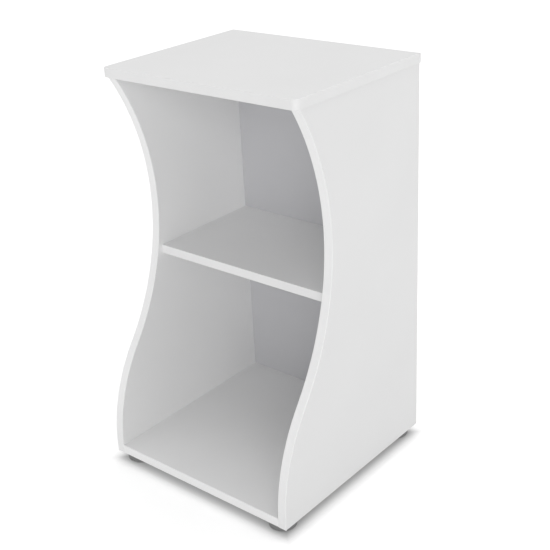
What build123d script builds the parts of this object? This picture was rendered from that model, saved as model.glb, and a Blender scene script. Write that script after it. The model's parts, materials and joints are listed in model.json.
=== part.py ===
# Open aquarium stand cabinet with wave-shaped side panels, one shelf and four round feet.
# Frame: +Z up, front towards -Y, origin on the floor under the middle of the cabinet. Millimetres.
from build123d import *

import math
import os

os.makedirs("parts", exist_ok=True)

# ---- driving dimensions ----
board = 16.0  # melamine-faced chipboard
band = 1.5  # plastic edge band
band_arris = 0.8  # rounding on the long corners of a straight edge band
curved_band_bevel = 0.5  # bevel on the long corners of the curved edge bands

top_width = 400.0
top_depth = 320.0
top_corner_radius = 10.0
side_overhang = 2.0  # how far the top stands out over each side panel

carcase_depth = 388.0
overall_height = 713.0
foot_height = 17.0
back_recess = 1.5  # the back panel lies this far inside the rear edges of the sides

shelf_top = 379.0
shelf_depth = 225.5

waist_depth = 244.0  # side panel at its narrowest, from its rear edge
waist_height = 468.0
waist_radius = 421.0

# ---- joint hardware ----
dowel_radius = 4.0
dowel_in_face = 11.0
dowel_in_end = 19.0
dowel_play = 1.0  # empty depth beyond each end of a dowel

cam_distance = 34.0  # cam centre to the end of its board
cam_bore_radius = 7.5
cam_bore_depth = 12.5
bolt_thread_radius = 3.0
bolt_thread_length = 11.0
bolt_channel_radius = 4.0

cap_radius = 8.5
cap_thickness = 1.2

back_screw_radius = 2.25
back_screw_length = 46.0
back_screw_head_radius = 4.3
countersink_radius = 4.5
countersink_angle = 82.0
screw_cap_radius = 6.0
screw_cap_thickness = 1.0

# ---- feet ----
foot_radius = 25.0
foot_taper = 1.4  # the foot is this much slimmer in radius near the floor
foot_side_inset = 30.0  # foot centre from the outer face of the side panel
foot_end_inset = 28.0  # foot centre from the front or rear edge of the side panel
foot_wall = 3.0
foot_hub_radius = 7.5
foot_plate = 3.5
foot_rib = 1.6
foot_rib_count = 6
pad_radius = 20.8
pad_thickness = 3.0
pad_proud = 2.0  # how far the pad stands below the plastic body
foot_screw_radius = 2.0
foot_screw_head_radius = 4.0
foot_screw_head_height = 2.4
foot_screw_seat = 12.0  # height of the screw seat above the floor
foot_screw_length = 16.0

# ---- derived positions ----
carcase_half = top_width / 2 - side_overhang
inner_half = carcase_half - board
rear = carcase_depth / 2
front = -carcase_depth / 2
back_rear = rear - back_recess
back_front = back_rear - board
back_middle = back_rear - board / 2
underside = overall_height - board  # joint plane between the sides and the top
top_front = rear - top_depth
shelf_front = back_front - shelf_depth
shelf_underside = shelf_top - board
shelf_middle = shelf_top - board / 2
bottom_middle = foot_height + board / 2

# The front edge of a side panel is one concave arc round the waist and one convex arc down to the toe.
# They meet where the line between their centres crosses them, and the toe ends in a short upright.
toe_height = foot_height + board
waist_y = rear - waist_depth
reach = waist_y - front
radii_sum = ((waist_height - toe_height) ** 2 + reach**2) / (2 * reach)
toe_radius = radii_sum - waist_radius
waist_centre = (waist_y - waist_radius, waist_height)
toe_centre = (front + toe_radius, toe_height)
turn_angle = math.degrees(math.asin((toe_height - waist_height) / radii_sum))

foot_places = {
    "front_left_foot": (-(carcase_half - foot_side_inset), front + foot_end_inset),
    "front_right_foot": (carcase_half - foot_side_inset, front + foot_end_inset),
    "rear_left_foot": (-(carcase_half - foot_side_inset), rear - foot_end_inset),
    "rear_right_foot": (carcase_half - foot_side_inset, rear - foot_end_inset),
}

# ---- joints between boards ----
# Each joint is a plane on the face that is drilled square on, and its normal points into the board
# that is drilled from its end.
sides = (-1, 1)
shelf_dowel_y = (10.0, 100.0)
shelf_cam_y = (-20.0, 135.0)
bottom_dowel_y = (-150.0, 0.0, 135.0)
bottom_cam_y = (-118.0, 100.0)
top_dowel_y = (-90.0, 30.0, 140.0)
back_dowel_z = (90.0, 290.0, 450.0, 640.0)
back_cam_z = (200.0, 560.0)
back_top_dowel_x = (-60.0, 60.0)
back_top_cam_x = (-115.0, 115.0)
back_screw_x = (-110.0, 0.0, 110.0)


def side_joint(side, y, z):
    return Plane(origin=(side * inner_half, y, z), x_dir=(0, 0, 1), z_dir=(-side, 0, 0))


def top_joint(x, y):
    return Plane(origin=(x, y, underside), x_dir=(1, 0, 0), z_dir=(0, 0, -1))


def side_joints(side, ys, zs):
    return [side_joint(side, y, z) for y in ys for z in zs]


def on_both_sides(ys, zs):
    return [joint for side in sides for joint in side_joints(side, ys, zs)]


shelf_dowels = on_both_sides(shelf_dowel_y, [shelf_middle])
shelf_bolts = on_both_sides(shelf_cam_y, [shelf_middle])
bottom_dowels = on_both_sides(bottom_dowel_y, [bottom_middle])
bottom_bolts = on_both_sides(bottom_cam_y, [bottom_middle])
top_side_dowels = [top_joint(side * (carcase_half - board / 2), y) for side in sides for y in top_dowel_y]
top_back_dowels = [top_joint(x, back_middle) for x in back_top_dowel_x]
top_bolts = [top_joint(x, back_middle) for x in back_top_cam_x]
back_dowels = on_both_sides([back_middle], back_dowel_z)
back_bolts = on_both_sides([back_middle], back_cam_z)

# A cam lies on the broad face of its board. Its x direction points towards its bolt.
cam_x = inner_half - cam_distance
shelf_cams = [
    Plane(origin=(side * cam_x, y, shelf_underside), x_dir=(side, 0, 0), z_dir=(0, 0, -1))
    for side in sides
    for y in shelf_cam_y
]
bottom_cams = [
    Plane(origin=(side * cam_x, y, foot_height), x_dir=(side, 0, 0), z_dir=(0, 0, -1))
    for side in sides
    for y in bottom_cam_y
]
back_cams = [
    Plane(origin=(side * cam_x, back_rear, z), x_dir=(side, 0, 0), z_dir=(0, 1, 0))
    for side in sides
    for z in back_cam_z
] + [
    Plane(origin=(x, back_rear, underside - cam_distance), x_dir=(0, 0, 1), z_dir=(0, 1, 0))
    for x in back_top_cam_x
]
back_screws = [
    Plane(origin=(x, back_rear, z), x_dir=(1, 0, 0), z_dir=(0, 1, 0))
    for z in (shelf_middle, bottom_middle)
    for x in back_screw_x
]


# ---- shared operations ----
def finish_piece(builder, name):
    builder.part.label = name
    export_step(builder.part, f"parts/{name}.step")


def point_at(centre, radius, degrees):
    angle = math.radians(degrees)
    return (centre[0] + radius * math.cos(angle), centre[1] + radius * math.sin(angle))


def front_curve(inset, bottom):
    """Front edge of a side panel, moved into the board by inset. Returns its top and bottom ends."""
    waist_arc = waist_radius + inset
    toe_arc = toe_radius - inset
    top_angle = math.degrees(math.asin((underside - waist_height) / waist_arc))
    top_end = point_at(waist_centre, waist_arc, top_angle)
    turn = point_at(waist_centre, waist_arc, turn_angle)
    toe = point_at(toe_centre, toe_arc, 180)
    bottom_end = (toe[0], bottom)
    ThreePointArc(top_end, point_at(waist_centre, waist_arc, (top_angle + turn_angle) / 2), turn)
    ThreePointArc(turn, point_at(toe_centre, toe_arc, 180 + turn_angle / 2), toe)
    Line(toe, bottom_end)
    return top_end, bottom_end


def drill_faces(dowels, bolts):
    """Square-on holes, in the board whose face carries the joint."""
    if dowels:
        with Locations(*dowels):
            Hole(dowel_radius, dowel_in_face + dowel_play)
    if bolts:
        with Locations(*bolts):
            Hole(bolt_thread_radius, bolt_thread_length + dowel_play)


def drill_ends(dowels, bolts):
    """Holes along a board, from the end that meets the joint."""
    with Locations(*[-joint for joint in dowels]):
        Hole(dowel_radius, dowel_in_end + dowel_play)
    if bolts:
        with Locations(*[-joint for joint in bolts]):
            Hole(bolt_channel_radius, cam_distance)


def drill_cams(cams):
    with Locations(*cams):
        Hole(cam_bore_radius, cam_bore_depth)


def block(low, high):
    """An upright box between two corners."""
    size = [b - a for a, b in zip(low, high)]
    centre = tuple((a + b) / 2 for a, b in zip(low, high))
    with Locations(centre):
        Box(*size)


def ridges(start, end, core, crest, pitch):
    """Outline points (radius, height) of a thread shown as closed rings."""
    count = int(abs(end - start) / pitch)
    step = (end - start) / count
    points = []
    for i in range(count):
        ring = start + i * step
        points += [(core, ring), (core, ring + step / 3), (crest, ring + step * 2 / 3)]
    return points + [(core, end)]


def cross_recess(height, span, width, depth, mode=Mode.SUBTRACT):
    """Cross-shaped recess, or with Mode.ADD a cross-shaped stem, going down from a height."""
    with Locations((0, 0, height - depth / 2)):
        Box(span, width, depth, mode=mode)
        Box(width, span, depth, mode=mode)


def copies(prototype, places, name):
    """One node with a separate solid at each place."""
    with BuildPart() as group:
        with Locations(*places):
            add(prototype.part)
    finish_piece(group, name)


# ---- side panels ----
for side, side_name in zip(sides, ("left", "right")):
    low_x = min(side * inner_half, side * carcase_half)
    side_plane = Plane.YZ.offset(low_x)

    with BuildPart() as side_panel:
        with BuildSketch(side_plane):
            with BuildLine():
                curve_top, curve_end = front_curve(band, foot_height + band)
                Polyline(
                    curve_end,
                    (rear - band, foot_height + band),
                    (rear - band, underside),
                    curve_top,
                )
            make_face()
        extrude(amount=board)
        face_dowels = side_joints(side, shelf_dowel_y, [shelf_middle])
        face_dowels += side_joints(side, bottom_dowel_y, [bottom_middle])
        face_dowels += side_joints(side, [back_middle], back_dowel_z)
        face_bolts = side_joints(side, shelf_cam_y, [shelf_middle])
        face_bolts += side_joints(side, bottom_cam_y, [bottom_middle])
        face_bolts += side_joints(side, [back_middle], back_cam_z)
        drill_faces(face_dowels, face_bolts)
        drill_ends([top_joint(side * (carcase_half - board / 2), y) for y in top_dowel_y], [])
    finish_piece(side_panel, f"{side_name}_side_panel")

    with BuildPart() as side_front_band:
        with BuildSketch(side_plane):
            with BuildLine():
                outer_top, outer_end = front_curve(0, foot_height)
                inner_top, inner_end = front_curve(band, foot_height)
                Line(outer_top, inner_top)
                Line(outer_end, inner_end)
            make_face()
        extrude(amount=board)
        rim_faces = side_front_band.faces().filter_by(Axis.X, reverse=True).filter_by(Axis.Z, reverse=True)
        outer_faces = [face for face in rim_faces if face.normal_at().Y < 0]
        long_edges = [edge for face in outer_faces for edge in face.edges().filter_by(Axis.X, reverse=True)]
        chamfer(long_edges, curved_band_bevel)
    finish_piece(side_front_band, f"{side_name}_side_front_band")

    with BuildPart() as side_rear_band:
        block((low_x, rear - band, foot_height), (low_x + board, rear, underside))
        fillet(side_rear_band.edges().filter_by(Axis.Z).group_by(Axis.Y)[-1], band_arris)
    finish_piece(side_rear_band, f"{side_name}_side_rear_band")

    with BuildPart() as side_lower_band:
        block(
            (low_x, front + band, foot_height),
            (low_x + board, rear - band, foot_height + band),
        )
        fillet(side_lower_band.edges().filter_by(Axis.Y).group_by(Axis.Z)[0], band_arris)
    finish_piece(side_lower_band, f"{side_name}_side_lower_band")

# ---- top ----
top_half = top_width / 2
top_plane = Plane.XY.offset(underside)

with BuildPart() as top_panel:
    with BuildSketch(top_plane) as top_outline:
        with Locations((0, (top_front + rear) / 2)):
            Rectangle(top_width - 2 * band, top_depth - 2 * band)
        fillet(top_outline.vertices().group_by(Axis.Y)[0], top_corner_radius - band)
    extrude(amount=board)
    drill_faces(top_side_dowels + top_back_dowels, top_bolts)
finish_piece(top_panel, "top_panel")

with BuildPart() as top_edge_band:
    with BuildSketch(top_plane):
        with BuildSketch(top_plane, mode=Mode.PRIVATE) as outer_outline:
            with Locations((0, (top_front + rear) / 2)):
                Rectangle(top_width, top_depth)
            fillet(outer_outline.vertices().group_by(Axis.Y)[0], top_corner_radius)
        with BuildSketch(top_plane, mode=Mode.PRIVATE) as inner_outline:
            with Locations((0, (top_front + rear + band) / 2)):
                Rectangle(top_width - 2 * band, top_depth - band)
            fillet(inner_outline.vertices().group_by(Axis.Y)[0], top_corner_radius - band)
        add(outer_outline.sketch_local)
        add(inner_outline.sketch_local, mode=Mode.SUBTRACT)
    extrude(amount=board)
    rims = top_edge_band.edges().group_by(Axis.Z)
    outer_rims = [
        edge
        for edge in [*rims[0], *rims[-1]]
        if abs(edge.center().X) > top_half - band / 2
        or edge.center().Y < top_front + band / 2
        or (edge.geom_type == GeomType.CIRCLE and edge.radius > top_corner_radius - band / 2)
    ]
    fillet(outer_rims, band_arris)
finish_piece(top_edge_band, "top_edge_band")

with BuildPart() as top_rear_band:
    block((band - top_half, rear - band, underside), (top_half - band, rear, overall_height))
    fillet(top_rear_band.edges().filter_by(Axis.X).group_by(Axis.Y)[-1], band_arris)
finish_piece(top_rear_band, "top_rear_band")

# ---- middle shelf ----
with BuildPart() as middle_shelf:
    block((-inner_half, shelf_front + band, shelf_underside), (inner_half, back_front, shelf_top))
    drill_ends(shelf_dowels, shelf_bolts)
    drill_cams(shelf_cams)
    shelf_screws = [plane.offset(-board) for plane in back_screws if plane.origin.Z > toe_height]
    with Locations(*shelf_screws):
        Hole(back_screw_radius, back_screw_length - board + dowel_play)
finish_piece(middle_shelf, "middle_shelf")

with BuildPart() as shelf_front_band:
    block((-inner_half, shelf_front, shelf_underside), (inner_half, shelf_front + band, shelf_top))
    fillet(shelf_front_band.edges().filter_by(Axis.X).group_by(Axis.Y)[0], band_arris)
finish_piece(shelf_front_band, "shelf_front_band")

# ---- bottom panel ----
with BuildPart() as bottom_panel:
    block((-inner_half, front + band, foot_height), (inner_half, back_front, toe_height))
    drill_ends(bottom_dowels, bottom_bolts)
    drill_cams(bottom_cams)
    bottom_screws = [plane.offset(-board) for plane in back_screws if plane.origin.Z < toe_height]
    with Locations(*bottom_screws):
        Hole(back_screw_radius, back_screw_length - board + dowel_play)
    foot_screw_tip = foot_screw_seat + foot_screw_length
    foot_screw_planes = [
        Plane(origin=(x, y, foot_height), z_dir=(0, 0, -1)) for x, y in foot_places.values()
    ]
    with Locations(*foot_screw_planes):
        Hole(foot_screw_radius, foot_screw_tip - foot_height + dowel_play)
finish_piece(bottom_panel, "bottom_panel")

with BuildPart() as bottom_front_band:
    block((-inner_half, front, foot_height), (inner_half, front + band, toe_height))
    fillet(bottom_front_band.edges().filter_by(Axis.X).group_by(Axis.Y)[0], band_arris)
finish_piece(bottom_front_band, "bottom_front_band")

# ---- back panel ----
with BuildPart() as back_panel:
    block((-inner_half, back_front, foot_height + band), (inner_half, back_rear, underside))
    drill_ends(back_dowels, back_bolts)
    drill_ends(top_back_dowels, top_bolts)
    drill_cams(back_cams)
    with Locations(*back_screws):
        CounterSinkHole(
            back_screw_radius, countersink_radius, board, counter_sink_angle=countersink_angle
        )
finish_piece(back_panel, "back_panel")

with BuildPart() as back_lower_band:
    block((-inner_half, back_front, foot_height), (inner_half, back_rear, foot_height + band))
    lower_edges = back_lower_band.edges().filter_by(Axis.X).group_by(Axis.Z)[0]
    fillet(lower_edges.sort_by(Axis.Y)[-1], band_arris)
finish_piece(back_lower_band, "back_lower_band")

# ---- wooden dowels ----
dowel_lead = 1.0  # chamfer on both ends
flute_radius = 0.4
flute_count = 8

with BuildPart() as dowel:
    with Locations((0, 0, -dowel_in_face)):
        Cylinder(
            dowel_radius,
            dowel_in_face + dowel_in_end,
            align=(Align.CENTER, Align.CENTER, Align.MIN),
        )
    chamfer(dowel.edges().filter_by(GeomType.CIRCLE), dowel_lead)
    with PolarLocations(dowel_radius, flute_count):
        Hole(flute_radius, dowel_in_face + dowel_in_end)

copies(dowel, shelf_dowels, "shelf_dowels")
copies(dowel, bottom_dowels, "bottom_dowels")
copies(dowel, top_side_dowels + top_back_dowels, "top_dowels")
copies(dowel, back_dowels, "back_panel_dowels")

# ---- cam fittings ----
# Bolt sections as (radius, height of their far end above the joint).
bolt_collar = (3.6, 1.2)
bolt_shank = (2.75, 26.2)
bolt_neck = (1.6, 31.6)
bolt_head = (3.3, 35.4)
bolt_head_bevel = 0.8
bolt_core_radius = 2.2
bolt_pitch = 2.2
bolt_drive = (4.0, 0.9, 1.5)  # span, width and depth of the cross recess

with BuildPart() as cam_bolt:
    with BuildSketch(Plane.XZ):
        with BuildLine():
            Polyline(
                (0, -bolt_thread_length),
                *ridges(-bolt_thread_length, 0, bolt_core_radius, bolt_thread_radius, bolt_pitch),
                (bolt_collar[0], 0),
                bolt_collar,
                (bolt_shank[0], bolt_collar[1]),
                bolt_shank,
                (bolt_neck[0], bolt_shank[1]),
                bolt_neck,
                (bolt_head[0] - bolt_head_bevel, bolt_neck[1]),
                (bolt_head[0], bolt_neck[1] + bolt_head_bevel),
                (bolt_head[0], bolt_head[1] - bolt_head_bevel),
                (bolt_head[0] - bolt_head_bevel, bolt_head[1]),
                (0, bolt_head[1]),
                close=True,
            )
        make_face()
    revolve(axis=Axis.Z)
    cross_recess(bolt_head[1], *bolt_drive)

copies(cam_bolt, shelf_bolts, "shelf_cam_bolts")
copies(cam_bolt, bottom_bolts, "bottom_cam_bolts")
copies(cam_bolt, back_bolts + top_bolts, "back_panel_cam_bolts")

cam_play = 0.05
cam_height = 12.0
cam_sunk = 0.2  # the cam's drive face lies this far below the board's face
cam_cup_radius = 5.4
cam_floor = 4.0  # thickness of the cam's closed end, which carries the drive
cam_drive = (7.0, 1.3, 3.0)
neck_slot = 4.2
head_slot = 7.4
head_slot_turn = 110.0

with BuildPart() as cam_lock:
    with Locations((0, 0, -cam_sunk)):
        Cylinder(cam_bore_radius - cam_play, cam_height, align=(Align.CENTER, Align.CENTER, Align.MAX))
    with Locations((0, 0, -cam_sunk - cam_floor)):
        Cylinder(
            cam_cup_radius,
            cam_height,
            align=(Align.CENTER, Align.CENTER, Align.MAX),
            mode=Mode.SUBTRACT,
        )
        Box(
            cam_bore_radius,
            neck_slot,
            cam_height,
            align=(Align.MIN, Align.CENTER, Align.MAX),
            mode=Mode.SUBTRACT,
        )
        Box(
            cam_bore_radius,
            head_slot,
            cam_height,
            rotation=(0, 0, head_slot_turn),
            align=(Align.MIN, Align.CENTER, Align.MAX),
            mode=Mode.SUBTRACT,
        )
    cross_recess(-cam_sunk, *cam_drive)

copies(cam_lock, shelf_cams, "shelf_cam_locks")
copies(cam_lock, bottom_cams, "bottom_cam_locks")
copies(cam_lock, back_cams, "back_panel_cam_locks")

cap_bevel = 0.5
cap_stem = (5.8, 0.9, 2.6)

with BuildPart() as cam_cap:
    Cylinder(cap_radius, cap_thickness, align=(Align.CENTER, Align.CENTER, Align.MIN))
    chamfer(cam_cap.edges().filter_by(GeomType.CIRCLE).group_by(Axis.Z)[-1], cap_bevel)
    cross_recess(0, *cap_stem, mode=Mode.ADD)

copies(cam_cap, shelf_cams, "shelf_cam_caps")
copies(cam_cap, bottom_cams, "bottom_cam_caps")
copies(cam_cap, back_cams, "back_panel_cam_caps")

# ---- back panel screws and their caps ----
head_slope = math.tan(math.radians(countersink_angle / 2))
head_top = -0.2  # the head lies this far below the panel's face
back_shank_radius = 2.0
head_bottom = head_top - (back_screw_head_radius - back_shank_radius) / head_slope
back_thread_start = -20.0
back_thread_core = 1.6
back_thread_pitch = 2.2
back_screw_point = 4.0
back_screw_drive = (4.6, 1.0, 2.0)

with BuildPart() as back_screw:
    back_thread_end = back_screw_point - back_screw_length
    back_thread = ridges(
        back_thread_start, back_thread_end, back_thread_core, back_screw_radius, back_thread_pitch
    )
    with BuildSketch(Plane.XZ):
        with BuildLine():
            Polyline(
                (0, head_top),
                (back_screw_head_radius, head_top),
                (back_shank_radius, head_bottom),
                (back_shank_radius, back_thread_start),
                *back_thread,
                (0, -back_screw_length),
                close=True,
            )
        make_face()
    revolve(axis=Axis.Z)
    cross_recess(head_top, *back_screw_drive)

copies(back_screw, back_screws, "back_panel_screws")

screw_cap_bevel = 0.4
screw_cap_stem = (3.6, 0.7, 1.6)

with BuildPart() as screw_cap:
    Cylinder(screw_cap_radius, screw_cap_thickness, align=(Align.CENTER, Align.CENTER, Align.MIN))
    chamfer(screw_cap.edges().filter_by(GeomType.CIRCLE).group_by(Axis.Z)[-1], screw_cap_bevel)
    cross_recess(0, *screw_cap_stem, mode=Mode.ADD)

copies(screw_cap, back_screws, "screw_cover_caps")

# ---- feet ----
pad_play = 0.2
foot_rim = 2.5  # upright part of the outer wall, below the board
foot_lower_radius = foot_radius - foot_taper
foot_edge = 0.8
foot_cavity_radius = pad_radius + pad_play - foot_wall / 2
foot_bore_radius = foot_screw_head_radius + 1.0
foot_screw_clearance = 0.1
pad_bevel = 0.5

with BuildPart() as foot:
    with BuildSketch(Plane.XZ):
        with BuildLine():
            Polyline(
                (foot_screw_radius + foot_screw_clearance, foot_height),
                (foot_radius, foot_height),
                (foot_radius, foot_height - foot_rim),
                (foot_lower_radius, pad_proud + foot_edge),
                (foot_lower_radius - foot_edge, pad_proud),
                (pad_radius + pad_play, pad_proud),
                (pad_radius + pad_play, pad_thickness),
                (foot_cavity_radius, pad_thickness),
                (foot_cavity_radius, foot_height - foot_plate),
                (foot_hub_radius, foot_height - foot_plate),
                (foot_hub_radius, pad_thickness),
                (foot_bore_radius, pad_thickness),
                (foot_bore_radius, foot_screw_seat),
                (foot_screw_radius + foot_screw_clearance, foot_screw_seat),
                close=True,
            )
        make_face()
    revolve(axis=Axis.Z)
    rib_length = foot_cavity_radius - foot_hub_radius + foot_rib
    rib_height = foot_height - foot_plate - pad_thickness
    with Locations((0, 0, pad_thickness + rib_height / 2)):
        with PolarLocations((foot_cavity_radius + foot_hub_radius) / 2, foot_rib_count):
            Box(rib_length, foot_rib, rib_height)

with BuildPart() as foot_pad:
    Cylinder(pad_radius, pad_thickness, align=(Align.CENTER, Align.CENTER, Align.MIN))
    chamfer(foot_pad.edges().filter_by(GeomType.CIRCLE).group_by(Axis.Z)[0], pad_bevel)

foot_locations = {name: Location((x, y, 0)) for name, (x, y) in foot_places.items()}
for foot_name, foot_location in foot_locations.items():
    copies(foot, [foot_location], foot_name)
    copies(foot_pad, [foot_location], f"{foot_name}_pad")

foot_screw_face = foot_screw_seat - foot_screw_head_height
foot_screw_bevel = 0.7
foot_screw_core = 1.4
foot_screw_pitch = 1.8
foot_screw_point = 2.0
foot_screw_drive = (4.2, 1.0, 1.6)

with BuildPart() as foot_screw:
    foot_thread_end = foot_screw_tip - foot_screw_point
    foot_thread = ridges(
        foot_screw_seat, foot_thread_end, foot_screw_core, foot_screw_radius, foot_screw_pitch
    )
    with BuildSketch(Plane.XZ):
        with BuildLine():
            Polyline(
                (0, foot_screw_face),
                (foot_screw_head_radius - foot_screw_bevel, foot_screw_face),
                (foot_screw_head_radius, foot_screw_face + foot_screw_bevel),
                (foot_screw_head_radius, foot_screw_seat),
                *foot_thread,
                (0, foot_screw_tip),
                close=True,
            )
        make_face()
    revolve(axis=Axis.Z)
    cross_recess(foot_screw_face + foot_screw_drive[2], *foot_screw_drive)

copies(foot_screw, foot_locations.values(), "foot_screws")
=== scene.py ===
import json
import math

import bpy
from mathutils import Matrix, Vector


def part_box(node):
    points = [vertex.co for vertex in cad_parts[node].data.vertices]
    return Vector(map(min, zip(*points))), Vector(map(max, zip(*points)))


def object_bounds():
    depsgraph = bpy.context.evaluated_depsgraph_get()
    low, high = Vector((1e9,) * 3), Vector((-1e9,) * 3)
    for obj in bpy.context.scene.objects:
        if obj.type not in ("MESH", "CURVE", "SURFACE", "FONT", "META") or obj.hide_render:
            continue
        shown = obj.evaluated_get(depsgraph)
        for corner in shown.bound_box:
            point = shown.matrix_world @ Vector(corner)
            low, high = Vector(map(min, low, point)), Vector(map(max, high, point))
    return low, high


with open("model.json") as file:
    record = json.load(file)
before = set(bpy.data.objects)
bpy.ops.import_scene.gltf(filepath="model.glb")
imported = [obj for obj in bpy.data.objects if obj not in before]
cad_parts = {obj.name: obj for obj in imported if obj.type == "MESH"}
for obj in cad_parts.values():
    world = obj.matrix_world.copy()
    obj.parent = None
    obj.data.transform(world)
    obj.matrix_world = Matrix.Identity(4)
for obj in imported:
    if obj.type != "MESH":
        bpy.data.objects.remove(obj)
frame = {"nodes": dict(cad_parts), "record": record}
cad_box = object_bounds()

# ---- view ----
image_side = 550
camera_focal = 1053.0  # for an image 550 wide
camera_sensor = 36.0
camera_azimuth = math.radians(40.77)
camera_elevation = math.radians(24.74)
camera_roll = math.radians(-3.07)
camera_place = Vector((1.0970, -1.2303, 1.1048))

# ---- light ----
dome_strength = 0.49
white = (1.0, 1.0, 1.0, 1.0)
black = (0.0, 0.0, 0.0, 1.0)

# ---- floor ----
floor_half = 12.0
floor_glow = 0.30
shade_inside = 0.032  # the painted contact shadow is full this far inside the cabinet's outline
shade_reach = 0.020  # and gone this far outside it
shade_floor = 0.29
bounce_reach = 0.6  # the floor lights the cabinet less within this distance
bounce_near = 0.67
bounce_far = 0.80
bounce_glow = 0.16

# ---- tones and tints ----
board_tone = 0.86
# painted shade: the back panel's board is darker and cooler than the other boards
back_shade_tone = 0.615
band_tone = 0.87
# painted light: the front bands of the sides and of the bottom are whiter than the other bands
lit_side_band_tone = 0.93
lit_bottom_band_tone = 0.98
plain_tint = (1.0, 1.0, 1.0)
cool_shade_tint = (0.99, 0.99, 1.02)
zinc_plate_tint = (1.0, 0.98, 0.93)
chip_dark = (0.30, 0.19, 0.10)
chip_middle = (0.47, 0.33, 0.19)
chip_light = (0.62, 0.47, 0.30)
beech_dark = (0.52, 0.33, 0.18)
beech_middle = (0.67, 0.47, 0.28)
beech_light = (0.76, 0.58, 0.38)
broad_face_cosine = 0.7  # faces turned at least this much towards the thin axis are broad faces


# ---- shader helpers ----
class Finish:
    """One procedural material, with short calls for the nodes that it needs."""

    def __init__(self, name, roughness, metallic=0.0, specular=0.5):
        self.material = bpy.data.materials.new(name)
        self.material.use_nodes = True
        self.tree = self.material.node_tree
        self.shader = self.tree.nodes["Principled BSDF"]
        self.shader.inputs["Roughness"].default_value = roughness
        self.shader.inputs["Metallic"].default_value = metallic
        self.shader.inputs["Specular IOR Level"].default_value = specular
        self.coordinates = self.tree.nodes.new("ShaderNodeTexCoord")

    def node(self, kind, **settings):
        made = self.tree.nodes.new(kind)
        for key, value in settings.items():
            setattr(made, key, value)
        return made

    def link(self, source, target):
        self.tree.links.new(source, target)

    def place(self, stretch=(1, 1, 1)):
        mapping = self.node("ShaderNodeMapping")
        mapping.inputs["Scale"].default_value = stretch
        self.link(self.coordinates.outputs["Object"], mapping.inputs["Vector"])
        return mapping.outputs["Vector"]

    def noise(self, scale, detail=2.0, rough=0.5, stretch=(1, 1, 1)):
        made = self.node("ShaderNodeTexNoise")
        made.inputs["Scale"].default_value = scale
        made.inputs["Detail"].default_value = detail
        made.inputs["Roughness"].default_value = rough
        self.link(self.place(stretch), made.inputs["Vector"])
        return made.outputs["Fac"]

    def cells(self, scale, stretch=(1, 1, 1)):
        made = self.node("ShaderNodeTexVoronoi")
        made.inputs["Scale"].default_value = scale
        self.link(self.place(stretch), made.inputs["Vector"])
        return made

    def ramp(self, factor, *stops):
        """Colour along a factor from (position, colour) stops."""
        made = self.node("ShaderNodeValToRGB")
        elements = made.color_ramp.elements
        while len(elements) < len(stops):
            elements.new(0.5)
        for element, (position, colour) in zip(elements, stops):
            element.position = position
            element.color = (*colour, 1.0)
        self.link(factor, made.inputs["Fac"])
        return made.outputs["Color"]

    def mottle(self, factor, low, high, start=0.3, end=0.7):
        """A soft change between two colours."""
        return self.ramp(factor, (start, low), (end, high))

    def mix(self, factor, first, second):
        made = self.node("ShaderNodeMix", data_type="RGBA")
        self.link(factor, made.inputs["Factor"])
        self.link(first, made.inputs["A"])
        self.link(second, made.inputs["B"])
        return made.outputs["Result"]

    def span(self, factor, low, high):
        made = self.node("ShaderNodeMapRange")
        made.inputs["To Min"].default_value = low
        made.inputs["To Max"].default_value = high
        self.link(factor, made.inputs["Value"])
        return made.outputs["Result"]

    def choose(self, factor, first, second):
        """A mix of two shaders: the first where the factor is 0, the second where it is 1."""
        made = self.node("ShaderNodeMixShader")
        self.link(factor, made.inputs[0])
        self.link(first, made.inputs[1])
        self.link(second, made.inputs[2])
        return made.outputs[0]

    def colour(self, source):
        self.link(source, self.shader.inputs["Base Color"])

    def roughness(self, source, low, high):
        self.link(self.span(source, low, high), self.shader.inputs["Roughness"])

    def relief(self, *layers):
        """Bump from (height, depth in metres, strength) layers, one on top of the other."""
        normal = None
        for height, depth, strength in layers:
            bump = self.node("ShaderNodeBump")
            bump.inputs["Distance"].default_value = depth
            bump.inputs["Strength"].default_value = strength
            self.link(height, bump.inputs["Height"])
            if normal is not None:
                self.link(normal, bump.inputs["Normal"])
            normal = bump.outputs["Normal"]
        self.link(normal, self.shader.inputs["Normal"])


def grey(value, tint=plain_tint):
    return tuple(value * part for part in tint)


# ---- finishes ----
def melamine_board(name, thin_axis, tone, tint):
    """Chipboard with white melamine on its two broad faces. Its narrow sides and bores show chips."""
    finish = Finish(name, roughness=0.42, specular=0.4)
    melamine = finish.mottle(
        finish.noise(scale=5.0, detail=4.0),
        grey(tone * 0.985, tint),
        grey(tone * 1.012, tint),
        start=0.25,
        end=0.75,
    )
    flattened = tuple(2.2 if axis == thin_axis else 1.0 for axis in range(3))
    chips = finish.cells(scale=420.0, stretch=flattened)
    core = finish.ramp(chips.outputs["Color"], (0.0, chip_dark), (0.5, chip_middle), (1.0, chip_light))
    split = finish.node("ShaderNodeSeparateXYZ")
    finish.link(finish.coordinates.outputs["Normal"], split.inputs["Vector"])
    turned = finish.node("ShaderNodeMath", operation="ABSOLUTE")
    finish.link(split.outputs["XYZ"[thin_axis]], turned.inputs[0])
    broad = finish.node("ShaderNodeMath", operation="GREATER_THAN")
    finish.link(turned.outputs[0], broad.inputs[0])
    broad.inputs[1].default_value = broad_face_cosine
    finish.colour(finish.mix(broad.outputs[0], core, melamine))
    finish.roughness(finish.noise(scale=38.0, detail=3.0), low=0.38, high=0.48)
    finish.relief(
        (finish.noise(scale=240.0, detail=1.0), 0.00008, 0.10),
        (finish.noise(scale=1500.0, detail=2.0), 0.00003, 0.16),
    )
    return finish.material


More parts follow.
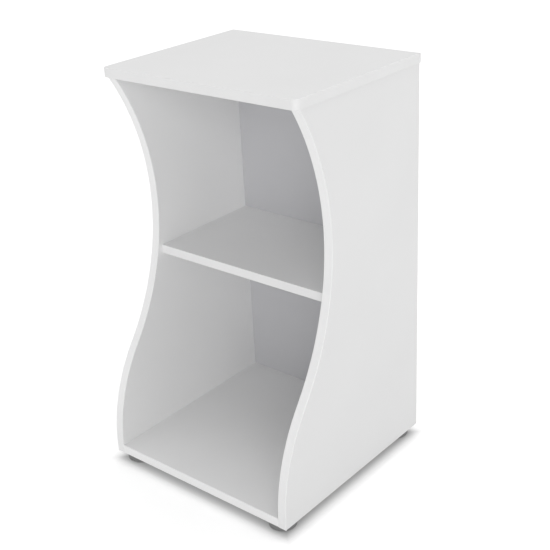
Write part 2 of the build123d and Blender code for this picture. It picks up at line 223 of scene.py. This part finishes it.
def edge_band(name, tone):
    finish = Finish(name, roughness=0.34, specular=0.45)
    finish.colour(finish.mottle(finish.noise(scale=26.0, detail=3.0), grey(tone * 0.99), grey(tone * 1.01)))
    finish.roughness(finish.noise(scale=90.0, detail=2.0), low=0.30, high=0.40)
    finish.relief((finish.noise(scale=1100.0, detail=2.0), 0.00003, 0.14))
    return finish.material


def moulded_plastic(name, low, high, roughness, stipple):
    finish = Finish(name, roughness=roughness, specular=0.4)
    finish.colour(finish.mottle(finish.noise(scale=60.0, detail=4.0), grey(low), grey(high)))
    finish.roughness(finish.noise(scale=140.0, detail=2.0), low=roughness - 0.05, high=roughness + 0.07)
    finish.relief((finish.noise(scale=stipple, detail=2.0), 0.00006, 0.3))
    return finish.material


def non_slip_rubber(name):
    finish = Finish(name, roughness=0.8, specular=0.25)
    finish.colour(finish.mottle(finish.noise(scale=90.0, detail=5.0), grey(0.035), grey(0.055)))
    grain = finish.cells(scale=900.0)
    finish.relief((grain.outputs["Distance"], 0.0001, 0.4))
    return finish.material


def beech(name):
    finish = Finish(name, roughness=0.6, specular=0.3)
    fibres = finish.noise(scale=120.0, detail=6.0, rough=0.65, stretch=(1.0, 6.0, 1.0))
    finish.colour(finish.ramp(fibres, (0.25, beech_dark), (0.55, beech_middle), (0.8, beech_light)))
    finish.relief((fibres, 0.0001, 0.3))
    return finish.material


def plated_metal(name, low, high, roughness, tint):
    finish = Finish(name, roughness=roughness, metallic=1.0)
    finish.colour(finish.mottle(finish.noise(scale=160.0, detail=5.0), grey(low, tint), grey(high, tint)))
    finish.roughness(finish.noise(scale=400.0, detail=3.0), low=roughness - 0.08, high=roughness + 0.1)
    finish.relief((finish.noise(scale=1800.0, detail=2.0), 0.00003, 0.2))
    return finish.material


slot_finishes = {
    "edge_band": edge_band("edge_band", band_tone),
    "cap_plastic": moulded_plastic("cap_plastic", low=0.68, high=0.72, roughness=0.35, stipple=1200.0),
    "foot_plastic": moulded_plastic("foot_plastic", low=0.20, high=0.24, roughness=0.45, stipple=900.0),
    "pad_rubber": non_slip_rubber("pad_rubber"),
    "dowel_wood": beech("dowel_wood"),
    "bolt_steel": plated_metal("bolt_steel", low=0.58, high=0.70, roughness=0.3, tint=zinc_plate_tint),
    "cam_zinc": plated_metal("cam_zinc", low=0.48, high=0.58, roughness=0.42, tint=plain_tint),
}
# Boards by their thin axis. Only the back panel is thin along Y.
board_finishes = {
    0: melamine_board("white_board_x", 0, board_tone, plain_tint),
    2: melamine_board("white_board_z", 2, board_tone, plain_tint),
    # The back panel's copy is darker and cooler: painted shade.
    1: melamine_board("shaded_white_board_y", 1, back_shade_tone, cool_shade_tint),
}
# Whiter copies of the band finish for the side and bottom front bands: painted light.
lit_side_band = edge_band("side_band_painted_light", lit_side_band_tone)
lit_bottom_band = edge_band("bottom_band_painted_light", lit_bottom_band_tone)
lit_band_finishes = {
    "left_side_front_band": lit_side_band,
    "right_side_front_band": lit_side_band,
    "bottom_front_band": lit_bottom_band,
}


def finish_of(part):
    node = part["node"]
    if part["material_slot"] == "white_board":
        low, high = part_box(node)
        size = list(high - low)
        return board_finishes[size.index(min(size))]
    return lit_band_finishes.get(node, slot_finishes[part["material_slot"]])


for part in frame["record"]["subparts"]:
    materials = frame["nodes"][part["node"]].data.materials
    materials.clear()
    materials.append(finish_of(part))


# ---- floor ----
def pale_floor():
    """A bleached floor with a painted contact shadow. It lights the cabinet like a duller floor."""
    finish = Finish("pale_floor", roughness=0.9, specular=0.0)
    plain = finish.mottle(finish.noise(scale=0.8, detail=2.0), grey(0.90), grey(0.915))
    dark = finish.node("ShaderNodeRGB")
    dark.outputs[0].default_value = black

    # Distance outside the cabinet's outline, negative under the cabinet.
    (left, front, _), (right, rear, _) = cad_box
    beyond = finish.node("ShaderNodeVectorMath", operation="ABSOLUTE")
    finish.link(finish.coordinates.outputs["Object"], beyond.inputs[0])
    outside = finish.node("ShaderNodeVectorMath", operation="SUBTRACT")
    finish.link(beyond.outputs[0], outside.inputs[0])
    outside.inputs[1].default_value = ((right - left) / 2, (rear - front) / 2, 0.0)
    apart = finish.node("ShaderNodeSeparateXYZ")
    finish.link(outside.outputs[0], apart.inputs[0])
    distance = finish.node("ShaderNodeMath", operation="MAXIMUM")
    finish.link(apart.outputs["X"], distance.inputs[0])
    finish.link(apart.outputs["Y"], distance.inputs[1])

    def fade(start, end, low, high):
        made = finish.node("ShaderNodeMapRange", interpolation_type="SMOOTHSTEP")
        made.inputs["From Min"].default_value = start
        made.inputs["From Max"].default_value = end
        made.inputs["To Min"].default_value = low
        made.inputs["To Max"].default_value = high
        finish.link(distance.outputs[0], made.inputs["Value"])
        return made.outputs["Result"]

    # What the camera sees.
    # Painted contact shadow: the floor's colour and glow darken under and near the cabinet's outline.
    shade = fade(-shade_inside, shade_reach, shade_floor, 1.0)
    finish.colour(finish.mix(shade, dark.outputs[0], plain))
    finish.shader.inputs["Emission Color"].default_value = white
    finish.link(finish.span(shade, 0.0, floor_glow), finish.shader.inputs["Emission Strength"])

    # What lights the cabinet from below.
    dull = finish.node("ShaderNodeBsdfDiffuse")
    nearness = fade(0.0, bounce_reach, bounce_near, bounce_far)
    finish.link(finish.mix(nearness, dark.outputs[0], plain), dull.inputs["Color"])
    gleam = finish.node("ShaderNodeEmission")
    gleam.inputs["Strength"].default_value = bounce_glow
    bounce = finish.node("ShaderNodeAddShader")
    finish.link(dull.outputs[0], bounce.inputs[0])
    finish.link(gleam.outputs[0], bounce.inputs[1])
    ray = finish.node("ShaderNodeLightPath")
    lit = finish.choose(ray.outputs["Is Camera Ray"], bounce.outputs[0], finish.shader.outputs[0])

    # Clear from below, so that the underside of the cabinet can be seen.
    geometry = finish.node("ShaderNodeNewGeometry")
    clear = finish.node("ShaderNodeBsdfTransparent")
    one_sided = finish.choose(geometry.outputs["Backfacing"], lit, clear.outputs[0])
    finish.link(one_sided, finish.tree.nodes["Material Output"].inputs["Surface"])

    corners = [(-floor_half, -floor_half, 0), (floor_half, -floor_half, 0)]
    corners += [(floor_half, floor_half, 0), (-floor_half, floor_half, 0)]
    mesh = bpy.data.meshes.new("floor")
    mesh.from_pydata(corners, [], [(0, 1, 2, 3)])
    mesh.materials.append(finish.material)
    floor = bpy.data.objects.new("floor", mesh)
    bpy.context.scene.collection.objects.link(floor)


pale_floor()


# ---- studio light ----
def dome():
    """Even light from all round, with a white background for the camera."""
    world = bpy.data.worlds.new("studio")
    world.use_nodes = True
    nodes, links = world.node_tree.nodes, world.node_tree.links
    surround = nodes["Background"]
    surround.inputs["Color"].default_value = white
    surround.inputs["Strength"].default_value = dome_strength
    backdrop = nodes.new("ShaderNodeBackground")
    backdrop.inputs["Color"].default_value = white
    ray = nodes.new("ShaderNodeLightPath")
    either = nodes.new("ShaderNodeMixShader")
    links.new(ray.outputs["Is Camera Ray"], either.inputs[0])
    links.new(surround.outputs[0], either.inputs[1])
    links.new(backdrop.outputs[0], either.inputs[2])
    links.new(either.outputs[0], nodes["World Output"].inputs["Surface"])
    bpy.context.scene.world = world


def soft_sun(name, azimuth, elevation, spread, strength):
    """Light from far away. Azimuth is turned from the front, -Y, towards +X; angles are in degrees."""
    data = bpy.data.lights.new(name, "SUN")
    data.angle = math.radians(spread)
    data.energy = strength * math.pi
    light = bpy.data.objects.new(name, data)
    turn, rise = math.radians(azimuth), math.radians(elevation)
    towards = Vector((math.sin(turn) * math.cos(rise), -math.cos(turn) * math.cos(rise), math.sin(rise)))
    light.rotation_euler = towards.to_track_quat("Z", "Y").to_euler()
    bpy.context.scene.collection.objects.link(light)


dome()
soft_sun("overhead", azimuth=175, elevation=76, spread=60, strength=0.405)
soft_sun("front_right", azimuth=41, elevation=10, spread=40, strength=0.35)


# ---- camera ----
def main_camera():
    data = bpy.data.cameras.new("camera")
    data.sensor_width = camera_sensor
    data.lens = camera_focal / image_side * camera_sensor
    camera = bpy.data.objects.new("camera", data)
    sin_a, cos_a = math.sin(camera_azimuth), math.cos(camera_azimuth)
    sin_e, cos_e = math.sin(camera_elevation), math.cos(camera_elevation)
    back = Vector((sin_a * cos_e, -cos_a * cos_e, sin_e))
    level = Vector((cos_a, sin_a, 0.0))
    turned = Matrix((level, back.cross(level), back)).transposed().to_4x4()
    camera.matrix_world = Matrix.Translation(camera_place) @ turned @ Matrix.Rotation(camera_roll, 4, "Z")
    bpy.context.scene.collection.objects.link(camera)
    bpy.context.scene.camera = camera


main_camera()
bpy.context.scene.view_settings.view_transform = "Standard"
